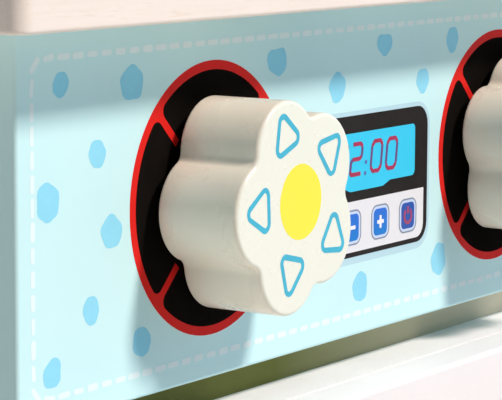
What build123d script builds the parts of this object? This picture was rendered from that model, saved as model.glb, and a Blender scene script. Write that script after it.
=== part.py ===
# Wooden toy oven for a table top: a carcass on four feet, a birch worktop with two burner discs, a
# printed control panel with two flower-shaped knobs, and a drop-down door with a window in front of
# a slatted rack. +X is the oven's right side seen from the front, +Y points to the back, +Z is up.
# The origin is on the table, under the middle of the whole oven.
import os
from math import atan, degrees

from build123d import *

os.makedirs("parts", exist_ok=True)

# ---- Driving dimensions, in millimetres ----
# Carcass boards
body_width = 290.0
carcass_depth = 205.0
side_board = 12.0
base_board = 12.0
ceiling_board = 9.0
back_board = 5.0
back_rebate = 6.0  # how far the back board is let into each side board
cavity_height = 166.0
foot_height = 15.0
foot_top_radius = 13.0
foot_floor_radius = 11.0
foot_inset = 24.0  # foot centre to the edges of the carcass
board_edge_radius = 1.2

# Worktop and burner discs
worktop_board = 12.0
worktop_side_overhang = 20.0
worktop_corner_radius = 4.0
worktop_edge_radius = 1.0
burner_radius = 48.0
burner_thickness = 4.0
burner_edge_radius = 1.0
burner_spacing = 142.6

# Control panel, set back from the door's front, and the slot that separates it from the door
panel_height = 88.0
panel_board = 9.0
panel_setback = 18.0
panel_edge_radius = 1.0
slot_height = 9.0
batten_depth = 12.0
batten_lap_height = 14.0  # how far the batten reaches up behind the panel

# Knobs and the axles that they turn on
knob_spacing = 142.6
knob_rise = 43.7  # panel's lower edge to the knob's middle
knob_thickness = 22.1
knob_lobes = 5
knob_lobe_radius = 12.5
knob_lobe_circle_radius = 13.5  # of the circle that the lobes' centres lie on
knob_core_radius = 18.0
knob_valley_radius = 3.0
knob_front_radius = 1.0
knob_back_radius = 1.0
knob_turns = {"left": 39.0, "right": 12.0}  # direction of the first lobe, in degrees from +X
knob_socket_depth = 15.0
axle_radius = 5.0
washer_thickness = 2.6
washer_radius = 12.0
retainer_radius = 13.0
retainer_thickness = 4.0

# Door
door_board = 12.0
door_side_gap = 1.5
door_heel_gap = 1.0  # under the closed door
door_rest_gap = 0.3  # under the open door, which lies on the base board
door_heel_flat = 1.0  # flat left on the door's lower edge in front of the pin
door_pin_radius = 1.5
door_pin_bite = 14.0
window_width = 180.0
window_height = 90.0
window_corner_radius = 12.0
window_drop = 50.0  # door's upper edge to the window's upper edge
window_bevel = 1.5
pane_thickness = 2.0
pane_lap_width = 6.0  # how far the pane's rebate runs past the window
bead_thickness = 3.0
bead_width = 14.0
handle_length = 150.0
handle_radius = 5.5
handle_end_radius = 2.75
handle_drop = 26.0  # door's upper edge to the bar
handle_post_spacing = 116.0
handle_post_radius = 5.0
handle_standoff = 13.0  # finger gap between door and bar

# Magnetic catch
striker_radius = 6.0
striker_thickness = 1.2
catch_width = 36.0
catch_depth = 14.0
catch_height = 13.0
catch_lug = 10.0  # length of each screw lug
catch_lug_height = 4.0
magnet_width = 12.0
magnet_height = 6.0
magnet_depth = 5.0

# Rack and runners
runner_width = 8.0
runner_height = 10.0
runner_length = 150.0
runner_rise = 66.0  # above the oven floor
rack_depth = 130.0
rack_rail_width = 10.0
rack_rail_height = 12.0
rack_side_gap = 1.0
rack_back_gap = 2.0
rack_slats = 9
rack_slat_radius = 3.0
rack_slat_bite = 6.0
rack_end_margin = 9.0

# Corner blocks under the worktop
block_width = 22.0
block_height = 34.0

# Fasteners: radius of the shank, radius of the head
wood_screw_radius = 2.0
wood_screw_head = 4.0
small_screw_radius = 1.3
small_screw_head = 2.6
screw_bite_share = 0.6  # of a thin board, where a screw must not come out on the far side
screw_cross_length = 1.1  # the cross in the head, in shares of the head's radius
screw_cross_width = 0.3
screw_cross_depth = 0.55
carcass_screw_length = 40.0
carcass_screw_inset = 36.0
foot_screw_length = 19.0
foot_screw_recess = 4.0
back_screw_length = 14.0
back_screw_inset = 30.0
back_screw_rows = 3
back_screw_spacing = 96.0  # between the two columns along the middle of the back board
worktop_screw_bite = 8.0
block_screw_shift = 5.5  # from the middle of a corner block, so that two screws can pass
burner_screw_offset = 24.0
runner_screw_inset = 25.0
panel_screw_spacing = 90.0
bead_screw_spacing = 60.0
axle_screw_length = 20.0

# Clearances
running_clearance = 0.08  # a pin or axle that turns in a board
fit_clearance = 0.05  # a screw, pin or dowel that is fixed in wood
turning_gap = 0.1  # flat faces that turn past each other
closing_gap = 0.3  # faces that come together when the door shuts

# ---- Places worked out from the dimensions ----
handle_reach = handle_standoff + 2 * handle_radius
knob_reach = washer_thickness + knob_thickness
overall_depth = carcass_depth + max(handle_reach, knob_reach - panel_setback)
back_y = overall_depth / 2
front_y = back_y - carcass_depth
panel_y = front_y + panel_setback
panel_back_y = panel_y + panel_board
inner_x = body_width / 2 - side_board
inner_back_y = back_y - back_board
floor_z = foot_height + base_board
ceiling_z = floor_z + cavity_height
ledge_z = ceiling_z + ceiling_board
panel_z = ledge_z + slot_height
worktop_z = panel_z + panel_height
burner_z = worktop_z + worktop_board
knob_z = panel_z + knob_rise
base_middle_z = foot_height + base_board / 2
ceiling_middle_z = ceiling_z + ceiling_board / 2

door_width = 2 * (inner_x - door_side_gap)
door_bottom_z = floor_z + door_heel_gap
door_back_y = front_y + door_board
pivot_y = front_y + door_board / 2
pivot_z = floor_z + door_rest_gap + door_board / 2
window_z = ledge_z - window_drop - window_height / 2
bead_back_y = door_back_y + bead_thickness
handle_y = front_y - handle_standoff - handle_radius
handle_z = ledge_z - handle_drop
striker_z = ceiling_z - closing_gap - striker_radius
striker_back_y = door_back_y + striker_thickness
catch_y = striker_back_y + closing_gap

runner_z = floor_z + runner_rise
rack_z = runner_z + runner_height
rack_back_y = inner_back_y - rack_back_gap
rack_front_y = rack_back_y - rack_depth
rack_half_width = inner_x - rack_side_gap
knob_back_y = panel_y - washer_thickness
retainer_y = panel_back_y + washer_thickness
SIDES = (("left", -1), ("right", 1))


# ---- Planes: each one's normal points out of the face that it lies on ----
def facing_front(y):
    """Plane at depth y that faces the front; its local axes are X and Z."""
    return Plane.XZ.offset(-y)


def facing_side(sign, x, y, z):
    """Plane through (x, y, z) that faces +X or -X."""
    return Plane(origin=(x, y, z), x_dir=(0, 1, 0), z_dir=(sign, 0, 0))


def facing_back(x, y, z):
    """Plane through (x, y, z) that faces the back."""
    return Plane(origin=(x, y, z), x_dir=(1, 0, 0), z_dir=(0, 1, 0))


def facing_down(x, y, z):
    """Plane through (x, y, z) that faces the table."""
    return Plane(origin=(x, y, z), x_dir=(1, 0, 0), z_dir=(0, 0, -1))


def on_side(places, sign):
    """Those of the places that lie on the left (-1) or right (+1) half of the oven."""
    return [place for place in places if place.origin.X * sign > 0]


# ---- Fasteners and their holes ----
def save(builder, name):
    """Label a finished piece and write its STEP file."""
    builder.part.label = name
    export_step(builder.part, f"parts/{name}.step")


def save_screws(name, places, shank_radius, head_radius, length):
    """Make and save a cross-head wood screw at each place, its head flush with the place's plane."""
    with BuildPart() as screw:
        with BuildSketch(Plane.XZ):
            with BuildLine():
                Polyline(
                    (0, 0),
                    (head_radius, 0),
                    (shank_radius, shank_radius - head_radius),
                    (shank_radius, shank_radius - length),
                    (0, -length),
                    close=True,
                )
            make_face()
        revolve(axis=Axis.Z)
        with BuildSketch(Plane.XY):
            Rectangle(screw_cross_length * head_radius, screw_cross_width * head_radius)
            Rectangle(screw_cross_width * head_radius, screw_cross_length * head_radius)
        extrude(amount=-screw_cross_depth * head_radius, mode=Mode.SUBTRACT)
    with BuildPart() as screws:
        with Locations(*places):
            add(screw.part)
    save(screws, name)


def countersink(places, shank_radius, head_radius, depth):
    """Cut a clearance hole with a seat for the screw's head at each place."""
    with Locations(*places):
        CounterSinkHole(
            radius=shank_radius + fit_clearance,
            counter_sink_radius=head_radius + fit_clearance,
            depth=depth,
            counter_sink_angle=90,
        )


def pilot(places, shank_radius, length):
    """Cut the hole that a screw's or pin's shank sits in at each place."""
    with Locations(*places):
        Hole(radius=shank_radius + fit_clearance, depth=length + fit_clearance)


def save_wood_screws(name, places, length):
    save_screws(name, places, wood_screw_radius, wood_screw_head, length)


def save_small_screws(name, places, length):
    save_screws(name, places, small_screw_radius, small_screw_head, length)


# ---- Where the screws and pins go ----
carcass_screws = [
    facing_side(sign, sign * body_width / 2, y, z)
    for _, sign in SIDES
    for y in (front_y + carcass_screw_inset, back_y - carcass_screw_inset)
    for z in (base_middle_z, ceiling_middle_z)
]
door_pins = [facing_side(sign, sign * body_width / 2, pivot_y, pivot_z) for _, sign in SIDES]
door_pin_length = side_board + door_side_gap + door_pin_bite

foot_places = [
    (sign * (body_width / 2 - foot_inset), y)
    for _, sign in SIDES
    for y in (front_y + foot_inset, back_y - foot_inset)
]
foot_screws = [facing_down(x, y, foot_screw_recess) for x, y in foot_places]

back_screw_pitch = (worktop_z - foot_height - 2 * back_screw_inset) / (back_screw_rows - 1)
back_side_screws = [
    facing_back(
        sign * (inner_x + back_rebate / 2),
        back_y,
        foot_height + back_screw_inset + row * back_screw_pitch,
    )
    for _, sign in SIDES
    for row in range(back_screw_rows)
]
back_board_screws = [
    facing_back(sign * back_screw_spacing / 2, back_y, z)
    for _, sign in SIDES
    for z in (base_middle_z, ceiling_middle_z)
]
back_screws = back_side_screws + back_board_screws

block_x = inner_x - block_width / 2
front_block_y = panel_back_y + block_width / 2
rear_block_y = inner_back_y - block_width / 2
block_places = [(sign * block_x, y) for _, sign in SIDES for y in (front_block_y, rear_block_y)]
worktop_screws = [
    facing_down(sign * (block_x - block_screw_shift), y, worktop_z - block_height)
    for _, sign in SIDES
    for y in (front_block_y, rear_block_y)
]
worktop_screw_length = block_height + worktop_screw_bite
panel_top_screws = [
    facing_back(
        sign * (block_x + block_screw_shift),
        panel_back_y + block_width,
        worktop_z - block_height / 2,
    )
    for _, sign in SIDES
]
panel_top_screw_length = block_width + screw_bite_share * panel_board
panel_bottom_screws = [
    facing_back(column * panel_screw_spacing, panel_back_y + batten_depth, panel_z + batten_lap_height / 2)
    for column in (-1, 0, 1)
]
panel_bottom_screw_length = batten_depth + screw_bite_share * panel_board

worktop_middle_y = (front_y + back_y) / 2
burner_screws = [
    facing_down(sign * burner_spacing / 2, worktop_middle_y + shift, worktop_z)
    for _, sign in SIDES
    for shift in (-burner_screw_offset, burner_screw_offset)
]
burner_screw_length = worktop_board + screw_bite_share * burner_thickness

runner_front_y = rack_back_y - runner_length
runner_screws = [
    facing_side(-sign, sign * (inner_x - runner_width), y, runner_z + runner_height / 2)
    for _, sign in SIDES
    for y in (runner_front_y + runner_screw_inset, rack_back_y - runner_screw_inset)
]
runner_screw_length = runner_width + screw_bite_share * side_board

bead_row_z = window_height / 2 + (bead_width + pane_lap_width) / 2
bead_screws = [
    facing_back(column * bead_screw_spacing, bead_back_y, window_z + row * bead_row_z)
    for row in (-1, 1)
    for column in (-1, 0, 1)
]
bead_screw_length = bead_thickness + screw_bite_share * door_board
handle_screws = [
    facing_back(sign * handle_post_spacing / 2, door_back_y, handle_z) for _, sign in SIDES
]
handle_screw_length = door_board + handle_standoff + handle_radius
striker_screw = [facing_back(0, striker_back_y, striker_z)]
striker_screw_length = striker_thickness + screw_bite_share * door_board
catch_screws = [
    facing_down(
        sign * (catch_width - catch_lug) / 2, catch_y + catch_depth / 2, ceiling_z - catch_lug_height
    )
    for _, sign in SIDES
]
catch_screw_length = catch_lug_height + screw_bite_share * ceiling_board
axle_screws = [
    facing_back(sign * knob_spacing / 2, retainer_y + retainer_thickness, knob_z)
    for _, sign in SIDES
]

# ---- Carcass ----
for side, sign in SIDES:
    with BuildPart() as side_panel:
        with BuildSketch(Plane.YZ.offset(sign * (inner_x + side_board / 2))):
            with BuildLine():
                Polyline(
                    (front_y, foot_height),
                    (back_y, foot_height),
                    (back_y, worktop_z),
                    (panel_back_y, worktop_z),
                    (panel_back_y, ledge_z),
                    (front_y, ledge_z),
                    close=True,
                )
            make_face()
        extrude(amount=side_board / 2, both=True)
        front_edges = side_panel.edges().filter_by(Axis.Z).group_by(Axis.Y)[0]
        fillet(front_edges, radius=board_edge_radius)
        with BuildSketch(facing_back(0, back_y, 0)):  # rebate that takes the back board
            with Locations((sign * (inner_x + back_rebate / 2), -(foot_height + worktop_z) / 2)):
                Rectangle(back_rebate, worktop_z - foot_height)
        extrude(amount=-back_board, mode=Mode.SUBTRACT)
        countersink(on_side(carcass_screws, sign), wood_screw_radius, wood_screw_head, side_board)
        pilot(on_side(door_pins, sign), door_pin_radius, side_board)
        pilot(on_side(back_side_screws, sign), small_screw_radius, back_screw_length)
        pilot(on_side(runner_screws, sign), small_screw_radius, runner_screw_length)
    save(side_panel, f"{side}_side_panel")

with BuildPart() as base_panel:
    with BuildSketch(Plane.XY.offset(foot_height)):
        with Locations((0, (front_y + inner_back_y) / 2)):
            Rectangle(2 * inner_x, inner_back_y - front_y)
    extrude(amount=base_board)
    front_edges = base_panel.edges().filter_by(Axis.X).group_by(Axis.Y)[0]
    fillet(front_edges, radius=board_edge_radius)
    pilot(carcass_screws, wood_screw_radius, carcass_screw_length)
    pilot(foot_screws, wood_screw_radius, foot_screw_length)
    pilot(back_board_screws, small_screw_radius, back_screw_length)
save(base_panel, "base_panel")

ceiling_y = door_back_y + closing_gap
with BuildPart() as oven_ceiling:
    with BuildSketch(Plane.XY.offset(ceiling_z)):
        with Locations((0, (ceiling_y + inner_back_y) / 2)):
            Rectangle(2 * inner_x, inner_back_y - ceiling_y)
    extrude(amount=ceiling_board)
    pilot(carcass_screws, wood_screw_radius, carcass_screw_length)
    pilot(catch_screws, small_screw_radius, catch_screw_length)
    pilot(back_board_screws, small_screw_radius, back_screw_length)
save(oven_ceiling, "oven_ceiling")

with BuildPart() as back_panel:
    with BuildSketch(facing_front(back_y)):
        with Locations((0, (foot_height + worktop_z) / 2)):
            Rectangle(2 * (inner_x + back_rebate - fit_clearance), worktop_z - foot_height)
    extrude(amount=back_board)
    countersink(back_screws, small_screw_radius, small_screw_head, back_board)
save(back_panel, "back_panel")

with BuildPart() as feet:
    with BuildSketch(Plane.XY.offset(foot_height)):
        with Locations(*foot_places):
            Circle(foot_top_radius)
    extrude(
        amount=-foot_height,
        taper=degrees(atan((foot_top_radius - foot_floor_radius) / foot_height)),
    )
    countersink(foot_screws, wood_screw_radius, wood_screw_head, foot_height)
save(feet, "feet")

with BuildPart() as corner_blocks:
    with BuildSketch(Plane.XY.offset(worktop_z - block_height)):
        with Locations(*block_places):
            Rectangle(block_width, block_width)
    extrude(amount=block_height)
    countersink(worktop_screws, wood_screw_radius, wood_screw_head, block_height)
    countersink(panel_top_screws, small_screw_radius, small_screw_head, block_width)
save(corner_blocks, "corner_blocks")

save_wood_screws("carcass_screws", carcass_screws, carcass_screw_length)
save_wood_screws("foot_screws", foot_screws, foot_screw_length)
save_small_screws("back_panel_screws", back_screws, back_screw_length)
save_wood_screws("worktop_screws", worktop_screws, worktop_screw_length)

# ---- Worktop and burner discs ----
with BuildPart() as worktop:
    with BuildSketch(Plane.XY.offset(worktop_z)):
        with Locations((0, worktop_middle_y)):
            Rectangle(body_width + 2 * worktop_side_overhang, carcass_depth)
        fillet(vertices().group_by(Axis.Y)[0], radius=worktop_corner_radius)
    extrude(amount=worktop_board)
    rims = worktop.edges().group_by(Axis.Z)
    fillet(rims[0] + rims[-1], radius=worktop_edge_radius)
    pilot(worktop_screws, wood_screw_radius, worktop_screw_length)
    countersink(burner_screws, small_screw_radius, small_screw_head, worktop_board)
save(worktop, "worktop")

for side, sign in SIDES:
    with BuildPart() as burner_disc:
        with BuildSketch(Plane.XY.offset(burner_z)):
            with Locations((sign * burner_spacing / 2, worktop_middle_y)):
                Circle(burner_radius)
        extrude(amount=burner_thickness)
        fillet(burner_disc.edges().group_by(Axis.Z)[-1], radius=burner_edge_radius)
        pilot(on_side(burner_screws, sign), small_screw_radius, burner_screw_length)
    save(burner_disc, f"{side}_burner_disc")

save_small_screws("burner_screws", burner_screws, burner_screw_length)

# ---- Control panel and the batten that carries it on the oven's ceiling ----
with BuildPart() as control_panel:
    with BuildSketch(facing_front(panel_back_y)):
        with Locations((0, panel_z + panel_height / 2)):
            Rectangle(body_width, panel_height)
    extrude(amount=panel_board)
    fillet(control_panel.edges().group_by(Axis.Y)[0], radius=panel_edge_radius)
    with Locations(*[facing_back(s * knob_spacing / 2, panel_back_y, knob_z) for _, s in SIDES]):
        Hole(radius=axle_radius + running_clearance)
    pilot(panel_top_screws, small_screw_radius, panel_top_screw_length)
    pilot(panel_bottom_screws, small_screw_radius, panel_bottom_screw_length)
save(control_panel, "control_panel")

with BuildPart() as panel_batten:
    with BuildSketch(Plane.XY.offset(ledge_z)):
        with Locations((0, panel_back_y + batten_depth / 2)):
            Rectangle(2 * inner_x, batten_depth)
    extrude(amount=slot_height + batten_lap_height)
    countersink(panel_bottom_screws, small_screw_radius, small_screw_head, batten_depth)
save(panel_batten, "panel_batten")

save_small_screws("panel_top_screws", panel_top_screws, panel_top_screw_length)
save_small_screws("panel_bottom_screws", panel_bottom_screws, panel_bottom_screw_length)

# ---- Knobs, each glued to an axle that a disc and a screw hold behind the panel ----
for side, sign in SIDES:
    knob_x = sign * knob_spacing / 2
    with BuildPart() as knob:
        with BuildSketch(facing_front(knob_back_y)):
            with Locations((knob_x, knob_z)):
                Circle(knob_core_radius)
                with PolarLocations(knob_lobe_circle_radius, knob_lobes, start_angle=knob_turns[side]):
                    Circle(knob_lobe_radius)
            valleys = vertices().sort_by_distance((knob_x, knob_z))[:knob_lobes]
            fillet(valleys, radius=knob_valley_radius)
        extrude(amount=knob_thickness)
        rims = knob.edges().group_by(Axis.Y)
        fillet(rims[0], radius=knob_front_radius)
        fillet(rims[-1], radius=knob_back_radius)
        with Locations(facing_back(knob_x, knob_back_y, knob_z)):
            Hole(radius=axle_radius + fit_clearance, depth=knob_socket_depth)
    save(knob, f"{side}_knob")

    with BuildPart() as knob_axle:
        with BuildSketch(facing_front(retainer_y)):
            with Locations((knob_x, knob_z)):
                Circle(axle_radius)
        extrude(amount=retainer_y - knob_back_y + knob_socket_depth)
        pilot(on_side(axle_screws, sign), wood_screw_radius, axle_screw_length)
    save(knob_axle, f"{side}_knob_axle")

    with BuildPart() as knob_washer:
        with BuildSketch(facing_front(panel_y - turning_gap)):
            with Locations((knob_x, knob_z)):
                Circle(washer_radius)
                Circle(axle_radius + fit_clearance, mode=Mode.SUBTRACT)
        extrude(amount=washer_thickness - turning_gap)
    save(knob_washer, f"{side}_knob_washer")

    with BuildPart() as friction_washer:
        with BuildSketch(facing_front(retainer_y)):
            with Locations((knob_x, knob_z)):
                Circle(washer_radius)
                Circle(axle_radius + fit_clearance, mode=Mode.SUBTRACT)
        extrude(amount=washer_thickness - turning_gap)
    save(friction_washer, f"{side}_friction_washer")

    with BuildPart() as retaining_disc:
        with BuildSketch(facing_front(retainer_y + retainer_thickness)):
            with Locations((knob_x, knob_z)):
                Circle(retainer_radius)
        extrude(amount=retainer_thickness)
        own_screw = on_side(axle_screws, sign)
        countersink(own_screw, wood_screw_radius, wood_screw_head, retainer_thickness)
    save(retaining_disc, f"{side}_retaining_disc")

    save_wood_screws(f"{side}_axle_screw", own_screw, axle_screw_length)

# ---- Door ----
with BuildPart() as door_panel:
    with BuildSketch(Plane.YZ):
        with Locations((pivot_y, (door_bottom_z + ledge_z) / 2)):
            Rectangle(door_board, ledge_z - door_bottom_z)
        heel = vertices().group_by(Axis.X)[0].sort_by(Axis.Y)[0]
        fillet(heel, radius=door_board / 2 - door_heel_flat)
    extrude(amount=door_width / 2, both=True)
    top_edges = door_panel.edges().filter_by(Axis.X).group_by(Axis.Z)[-1]
    fillet(top_edges, radius=board_edge_radius)
    with BuildSketch(facing_front(door_back_y)):
        with Locations((0, window_z)):
            RectangleRounded(window_width, window_height, window_corner_radius)
    extrude(amount=door_board, mode=Mode.SUBTRACT)
    window_rim = door_panel.faces().filter_by(Axis.Y).sort_by(Axis.Y)[0].inner_wires()[0]
    fillet(window_rim.edges(), radius=window_bevel)
    with BuildSketch(facing_front(door_back_y)):  # rebate that takes the pane
        with Locations((0, window_z)):
            RectangleRounded(
                window_width + 2 * pane_lap_width, window_height + 2 * pane_lap_width, window_corner_radius
            )
    extrude(amount=pane_thickness, mode=Mode.SUBTRACT)
    with Locations(*door_pins):
        Hole(radius=door_pin_radius + running_clearance, depth=door_pin_length + closing_gap)
    countersink(handle_screws, wood_screw_radius, wood_screw_head, door_board)
    pilot(bead_screws, small_screw_radius, bead_screw_length)
    pilot(striker_screw, small_screw_radius, striker_screw_length)
save(door_panel, "door_panel")

with BuildPart() as door_pin_pair:
    for _, sign in SIDES:
        with BuildSketch(*on_side(door_pins, sign)):
            Circle(door_pin_radius)
        extrude(amount=-door_pin_length)
save(door_pin_pair, "door_pins")

with BuildPart() as window_pane:
    with BuildSketch(facing_front(door_back_y)):
        with Locations((0, window_z)):
            RectangleRounded(
                window_width + 2 * (pane_lap_width - fit_clearance),
                window_height + 2 * (pane_lap_width - fit_clearance),
                window_corner_radius - fit_clearance,
            )
    extrude(amount=pane_thickness)
save(window_pane, "window_pane")

with BuildPart() as window_bead:
    with BuildSketch(facing_front(bead_back_y)):
        with Locations((0, window_z)):
            RectangleRounded(
                window_width + 2 * bead_width,
                window_height + 2 * bead_width,
                window_corner_radius,
            )
            RectangleRounded(window_width, window_height, window_corner_radius, mode=Mode.SUBTRACT)
    extrude(amount=bead_thickness)
    countersink(bead_screws, small_screw_radius, small_screw_head, bead_thickness)
save(window_bead, "window_bead")

with BuildPart() as handle_bar:
    with BuildSketch(Plane.YZ):
        with Locations((handle_y, handle_z)):
            Circle(handle_radius)
    extrude(amount=handle_length / 2, both=True)
    fillet(handle_bar.edges().filter_by(GeomType.CIRCLE), radius=handle_end_radius)
    pilot(handle_screws, wood_screw_radius, handle_screw_length)
save(handle_bar, "handle_bar")

with BuildPart() as handle_posts:
    with BuildSketch(facing_front(front_y)):
        with Locations(*[(s * handle_post_spacing / 2, handle_z) for _, s in SIDES]):
            Circle(handle_post_radius)
    extrude(amount=handle_standoff + handle_radius)
    with BuildSketch(Plane.YZ):  # the saddle that the bar lies in
        with Locations((handle_y, handle_z)):
            Circle(handle_radius + fit_clearance)
    extrude(amount=handle_length / 2, both=True, mode=Mode.SUBTRACT)
    pilot(handle_screws, wood_screw_radius, handle_screw_length)
save(handle_posts, "handle_posts")

save_small_screws("bead_screws", bead_screws, bead_screw_length)
save_wood_screws("handle_screws", handle_screws, handle_screw_length)

# ---- Magnetic catch under the ceiling, and its striker on the door ----
with BuildPart() as striker_plate:
    with BuildSketch(facing_front(striker_back_y)):
        with Locations((0, striker_z)):
            Circle(striker_radius)
    extrude(amount=striker_thickness)
    with Locations(*striker_screw):
        Hole(radius=small_screw_head + fit_clearance)
save(striker_plate, "striker_plate")

catch_middle_y = catch_y + catch_depth / 2
with BuildPart() as catch_body:
    with BuildSketch(facing_down(0, catch_middle_y, ceiling_z)):
        Rectangle(catch_width - 2 * catch_lug, catch_depth)
    extrude(amount=catch_height)
    with BuildSketch(facing_down(0, catch_middle_y, ceiling_z)):
        Rectangle(catch_width, catch_depth)
    extrude(amount=catch_lug_height)
    with BuildSketch(facing_front(catch_y)):  # pocket that takes the magnet
        with Locations((0, striker_z)):
            Rectangle(magnet_width, magnet_height)
    extrude(amount=-magnet_depth, mode=Mode.SUBTRACT)
    countersink(catch_screws, small_screw_radius, small_screw_head, catch_lug_height)
save(catch_body, "catch_body")

with BuildPart() as catch_magnet:
    with BuildSketch(facing_front(catch_y)):
        with Locations((0, striker_z)):
            Rectangle(magnet_width - 2 * fit_clearance, magnet_height - 2 * fit_clearance)
    extrude(amount=-magnet_depth)
save(catch_magnet, "catch_magnet")

save_small_screws("striker_screw", striker_screw, striker_screw_length)
save_small_screws("catch_screws", catch_screws, catch_screw_length)

# ---- Rack on its runners ----
with BuildPart() as shelf_runners:
    for _, sign in SIDES:
        with BuildSketch(facing_front(rack_back_y)):
            with Locations((sign * (inner_x - runner_width / 2), runner_z + runner_height / 2)):
                Rectangle(runner_width, runner_height)
        extrude(amount=runner_length)
    countersink(runner_screws, small_screw_radius, small_screw_head, runner_width)
save(shelf_runners, "shelf_runners")

rail_x = rack_half_width - rack_rail_width / 2
slat_pitch = (rack_depth - 2 * rack_end_margin) / (rack_slats - 1)
slat_z = rack_z + rack_rail_height / 2
slat_places = [(rack_front_y + rack_end_margin + i * slat_pitch, slat_z) for i in range(rack_slats)]
slat_half_length = rack_half_width - rack_rail_width + rack_slat_bite
with BuildPart() as rack_rails:
    for _, sign in SIDES:
        with BuildSketch(facing_front(rack_back_y)):
            with Locations((sign * rail_x, slat_z)):
                Rectangle(rack_rail_width, rack_rail_height)
        extrude(amount=rack_depth)
    fillet(rack_rails.edges().filter_by(Axis.Y), radius=board_edge_radius)
    with BuildSketch(Plane.YZ):
        with Locations(*slat_places):
            Circle(rack_slat_radius + fit_clearance)
    extrude(amount=slat_half_length + fit_clearance, both=True, mode=Mode.SUBTRACT)
save(rack_rails, "rack_rails")

with BuildPart() as rack_slat_set:
    with BuildSketch(Plane.YZ):
        with Locations(*slat_places):
            Circle(rack_slat_radius)
    extrude(amount=slat_half_length, both=True)
save(rack_slat_set, "rack_slats")

save_small_screws("runner_screws", runner_screws, runner_screw_length)
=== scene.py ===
import math

import bmesh
import bpy
from mathutils import Matrix, Vector
from mathutils.geometry import tessellate_polygon
from mathutils.noise import noise


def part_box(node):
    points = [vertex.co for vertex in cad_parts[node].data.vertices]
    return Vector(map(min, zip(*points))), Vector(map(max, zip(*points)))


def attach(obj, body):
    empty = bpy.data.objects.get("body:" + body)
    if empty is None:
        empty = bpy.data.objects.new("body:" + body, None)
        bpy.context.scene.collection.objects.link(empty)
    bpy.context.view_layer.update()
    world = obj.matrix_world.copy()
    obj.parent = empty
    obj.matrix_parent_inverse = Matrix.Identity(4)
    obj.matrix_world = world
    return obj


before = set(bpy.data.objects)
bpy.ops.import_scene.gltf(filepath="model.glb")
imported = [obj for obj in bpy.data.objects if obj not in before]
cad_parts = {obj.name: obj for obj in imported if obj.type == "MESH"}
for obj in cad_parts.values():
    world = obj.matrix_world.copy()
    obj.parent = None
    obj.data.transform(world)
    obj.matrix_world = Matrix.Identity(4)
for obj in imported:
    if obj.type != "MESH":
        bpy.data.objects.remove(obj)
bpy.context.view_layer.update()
scene = bpy.context.scene
scene.view_settings.view_transform = "Standard"

mm = 0.001
sides = ("left", "right")

# Faces and centres that the drawings are laid on, in metres
panelLow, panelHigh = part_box("control_panel")
panelFace = panelLow.y
panelMiddle = (panelLow + panelHigh) / 2
panelCentre = (panelMiddle.x, panelMiddle.z)
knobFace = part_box("left_knob")[0].y
knobMiddle = {side: sum(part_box(f"{side}_knob_axle"), Vector()) / 2 for side in sides}
dialMiddle = {side: (knobMiddle[side].x, knobMiddle[side].z) for side in sides}
burnerMiddle = {side: sum(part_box(f"{side}_burner_disc"), Vector()) / 2 for side in sides}


# Small helpers for objects and node trees


def addObject(name, data):
    placed = bpy.data.objects.new(name, data)
    scene.collection.objects.link(placed)
    return placed


def addNode(tree, kind, inputs=None, **settings):
    node = tree.nodes.new(kind)
    for key, value in settings.items():
        setattr(node, key, value)
    for label, value in (inputs or {}).items():
        if isinstance(value, bpy.types.NodeSocket):
            tree.links.new(value, node.inputs[label])
        else:
            node.inputs[label].default_value = value
    return node


def maths(tree, operation, a, b=0.0, c=0.0, clamp=False):
    node = addNode(tree, "ShaderNodeMath", {0: a, 1: b, 2: c}, operation=operation, use_clamp=clamp)
    return node.outputs[0]


def spread(tree, value, low, high, toLow=0.0, toHigh=1.0, smooth=False):
    inputs = {"Value": value, "From Min": low, "From Max": high, "To Min": toLow, "To Max": toHigh}
    kind = "SMOOTHSTEP" if smooth else "LINEAR"
    return addNode(tree, "ShaderNodeMapRange", inputs, interpolation_type=kind).outputs["Result"]


def blendColour(tree, share, a, b):
    node = addNode(tree, "ShaderNodeMix", data_type="RGBA")
    colours = [s for s in node.inputs if s.type == "RGBA"]
    for target, value in ((node.inputs[0], share), (colours[0], a), (colours[1], b)):
        if isinstance(value, bpy.types.NodeSocket):
            tree.links.new(value, target)
        else:
            target.default_value = (*value[:3], 1.0) if isinstance(value, tuple) else value
    return [s for s in node.outputs if s.type == "RGBA"][0]


def noiseOf(tree, vector, scale, detail=2.0, rough=0.5, twist=0.0):
    inputs = {"Vector": vector, "Scale": scale, "Detail": detail, "Roughness": rough, "Distortion": twist}
    return addNode(tree, "ShaderNodeTexNoise", inputs).outputs[0]


def stretch(tree, vector, factors):
    return addNode(tree, "ShaderNodeMapping", {"Vector": vector, "Scale": factors}).outputs[0]


def seenDirectly(tree):
    # 1 for rays that look straight at a thing, in a mirror or through glass; 0 for those that gather light
    path = addNode(tree, "ShaderNodeLightPath").outputs
    seen = maths(tree, "ADD", path["Is Camera Ray"], path["Is Glossy Ray"])
    return maths(tree, "ADD", seen, path["Is Transmission Ray"], clamp=True)


# Camera

cameraView = {
    "fromLeftDial": (-0.4792, -0.33125, 0.07738),  # metres, from the middle of the left dial
    "yaw": -56.26,  # degrees, as are the next two
    "pitch": -7.61,
    "roll": -0.24,
    "lens": 176.44,  # millimetres, as is the sensor's width
    "sensor": 36.0,
    "clipStart": 0.01,
}


def addCamera():
    look = cameraView
    lens = bpy.data.cameras.new("view")
    lens.lens = look["lens"]
    lens.sensor_width = look["sensor"]
    lens.clip_start = look["clipStart"]
    camera = addObject("view", lens)
    dial = Vector((knobMiddle["left"].x, panelFace, knobMiddle["left"].z))
    matrix = Matrix.Translation(dial + Vector(look["fromLeftDial"]))
    # an unturned camera looks down, so the last turn lifts its eye to the horizon
    for axis, angle in (("Z", look["yaw"]), ("X", look["pitch"]), ("Y", look["roll"]), ("X", 90.0)):
        matrix = matrix @ Matrix.Rotation(math.radians(angle), 4, axis)
    camera.matrix_world = matrix
    scene.camera = camera


# Light

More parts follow.
